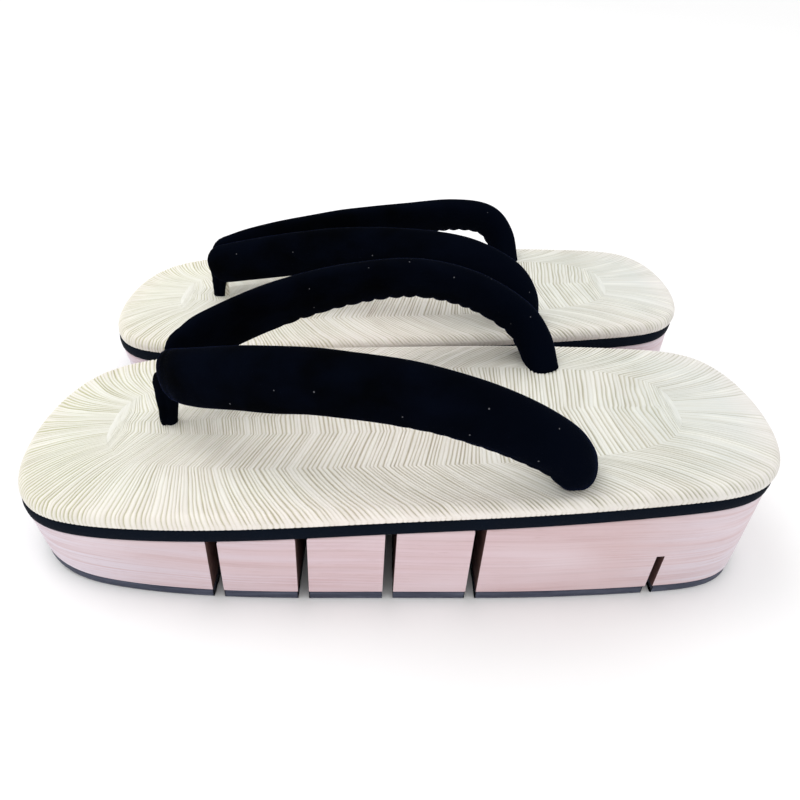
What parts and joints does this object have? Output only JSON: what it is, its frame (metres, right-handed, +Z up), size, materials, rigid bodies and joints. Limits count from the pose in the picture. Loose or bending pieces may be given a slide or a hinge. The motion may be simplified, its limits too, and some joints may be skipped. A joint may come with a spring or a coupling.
{
  "type": "split-sole thong sandals",
  "caption": "Pair of thick wooden thong sandals: platform sawn into hinged blocks under a foam sheet and ridged ivory cover, with a padded black velvet strap.",
  "frame": {"origin": "on the floor, in the middle of the pair's bounding box", "axes": "+X along the sandals from toe to heel, +Y from the left sandal to the right one, +Z up"},
  "size_m": [0.261, 0.2034, 0.0842],
  "materials": {
    "ridged_cover": "soft ridged moulding, ivory",
    "black_foam": "matt closed-cell foam",
    "pale_wood": "bare sanded, very pale",
    "outsole_rubber": "matt",
    "strap_velvet": "velvet pile",
    "strap_padding": "soft wadding",
    "strap_cord": "twisted cord"
  },
  "bodies": {
    "left_toe": {"left_outsole_toe": "outsole_rubber", "left_wood_toe": "pale_wood", "left_foam_toe": "black_foam", "left_cover_toe": "ridged_cover", "left_toe_post": "strap_velvet", "left_front_cord": "strap_cord", "left_front_knot": "strap_cord"},
    "left_mid_1": {"left_outsole_mid_1": "outsole_rubber", "left_wood_mid_1": "pale_wood", "left_foam_mid_1": "black_foam", "left_cover_mid_1": "ridged_cover"},
    "left_mid_2": {"left_outsole_mid_2": "outsole_rubber", "left_wood_mid_2": "pale_wood", "left_foam_mid_2": "black_foam", "left_cover_mid_2": "ridged_cover"},
    "left_mid_3": {"left_outsole_mid_3": "outsole_rubber", "left_wood_mid_3": "pale_wood", "left_foam_mid_3": "black_foam", "left_cover_mid_3": "ridged_cover"},
    "left_heel": {"left_outsole_heel": "outsole_rubber", "left_wood_heel": "pale_wood", "left_foam_heel": "black_foam", "left_cover_heel": "ridged_cover", "left_strap_outer_velvet": "strap_velvet", "left_strap_inner_velvet": "strap_velvet", "left_strap_outer_pad": "strap_padding", "left_strap_inner_pad": "strap_padding", "left_strap_cords": "strap_cord", "left_rear_knots": "strap_cord"},
    "right_toe": {"right_outsole_toe": "outsole_rubber", "right_wood_toe": "pale_wood", "right_foam_toe": "black_foam", "right_cover_toe": "ridged_cover", "right_toe_post": "strap_velvet", "right_front_cord": "strap_cord", "right_front_knot": "strap_cord"},
    "right_mid_1": {"right_outsole_mid_1": "outsole_rubber", "right_wood_mid_1": "pale_wood", "right_foam_mid_1": "black_foam", "right_cover_mid_1": "ridged_cover"},
    "right_mid_2": {"right_outsole_mid_2": "outsole_rubber", "right_wood_mid_2": "pale_wood", "right_foam_mid_2": "black_foam", "right_cover_mid_2": "ridged_cover"},
    "right_mid_3": {"right_outsole_mid_3": "outsole_rubber", "right_wood_mid_3": "pale_wood", "right_foam_mid_3": "black_foam", "right_cover_mid_3": "ridged_cover"},
    "right_heel": {"right_outsole_heel": "outsole_rubber", "right_wood_heel": "pale_wood", "right_foam_heel": "black_foam", "right_cover_heel": "ridged_cover", "right_strap_outer_velvet": "strap_velvet", "right_strap_inner_velvet": "strap_velvet", "right_strap_outer_pad": "strap_padding", "right_strap_inner_pad": "strap_padding", "right_strap_cords": "strap_cord", "right_rear_knots": "strap_cord"}
  },
  "joints": [
    {"name": "left_flex_mid_3", "type": "hinge", "parent": "left_heel", "child": "left_mid_3", "pos_m": [0.0261, -0.0511, 0.03329], "axis": [0, 1, 0], "range_deg": [-4, 8], "stiffness_Nm_per_rad": 2, "deforming": ["left_strap_outer_velvet", "left_strap_inner_velvet", "left_strap_outer_pad", "left_strap_inner_pad", "left_strap_cords"]},
    {"name": "left_flex_mid_2", "type": "hinge", "parent": "left_mid_3", "child": "left_mid_2", "pos_m": [-0.0016, -0.0511, 0.03118], "axis": [0, 1, 0], "range_deg": [-4, 8], "stiffness_Nm_per_rad": 2, "deforming": ["left_strap_outer_velvet", "left_strap_inner_velvet", "left_strap_outer_pad", "left_strap_inner_pad", "left_strap_cords"]},
    {"name": "left_flex_mid_1", "type": "hinge", "parent": "left_mid_2", "child": "left_mid_1", "pos_m": [-0.0293, -0.0511, 0.02895], "axis": [0, 1, 0], "range_deg": [-4, 8], "stiffness_Nm_per_rad": 2, "deforming": ["left_strap_outer_velvet", "left_strap_inner_velvet", "left_strap_outer_pad", "left_strap_inner_pad", "left_strap_cords"]},
    {"name": "left_flex_toe", "type": "hinge", "parent": "left_mid_1", "child": "left_toe", "pos_m": [-0.057, -0.0511, 0.02662], "axis": [0, 1, 0], "range_deg": [-4, 8], "stiffness_Nm_per_rad": 2, "deforming": ["left_strap_outer_velvet", "left_strap_inner_velvet", "left_strap_outer_pad", "left_strap_inner_pad", "left_strap_cords"]},
    {"name": "right_flex_mid_3", "type": "hinge", "parent": "right_heel", "child": "right_mid_3", "pos_m": [0.0261, 0.0511, 0.03329], "axis": [0, 1, 0], "range_deg": [-4, 8], "stiffness_Nm_per_rad": 2, "deforming": ["right_strap_outer_velvet", "right_strap_inner_velvet", "right_strap_outer_pad", "right_strap_inner_pad", "right_strap_cords"]},
    {"name": "right_flex_mid_2", "type": "hinge", "parent": "right_mid_3", "child": "right_mid_2", "pos_m": [-0.0016, 0.0511, 0.03118], "axis": [0, 1, 0], "range_deg": [-4, 8], "stiffness_Nm_per_rad": 2, "deforming": ["right_strap_outer_velvet", "right_strap_inner_velvet", "right_strap_outer_pad", "right_strap_inner_pad", "right_strap_cords"]},
    {"name": "right_flex_mid_1", "type": "hinge", "parent": "right_mid_2", "child": "right_mid_1", "pos_m": [-0.0293, 0.0511, 0.02895], "axis": [0, 1, 0], "range_deg": [-4, 8], "stiffness_Nm_per_rad": 2, "deforming": ["right_strap_outer_velvet", "right_strap_inner_velvet", "right_strap_outer_pad", "right_strap_inner_pad", "right_strap_cords"]},
    {"name": "right_flex_toe", "type": "hinge", "parent": "right_mid_1", "child": "right_toe", "pos_m": [-0.057, 0.0511, 0.02662], "axis": [0, 1, 0], "range_deg": [-4, 8], "stiffness_Nm_per_rad": 2, "deforming": ["right_strap_outer_velvet", "right_strap_inner_velvet", "right_strap_outer_pad", "right_strap_inner_pad", "right_strap_cords"]},
    {"name": "right_lift", "type": "slide", "parent": "left_heel", "child": "right_heel", "axis": [0, 0, 1], "range_m": [0, 0.06]}
  ]
}
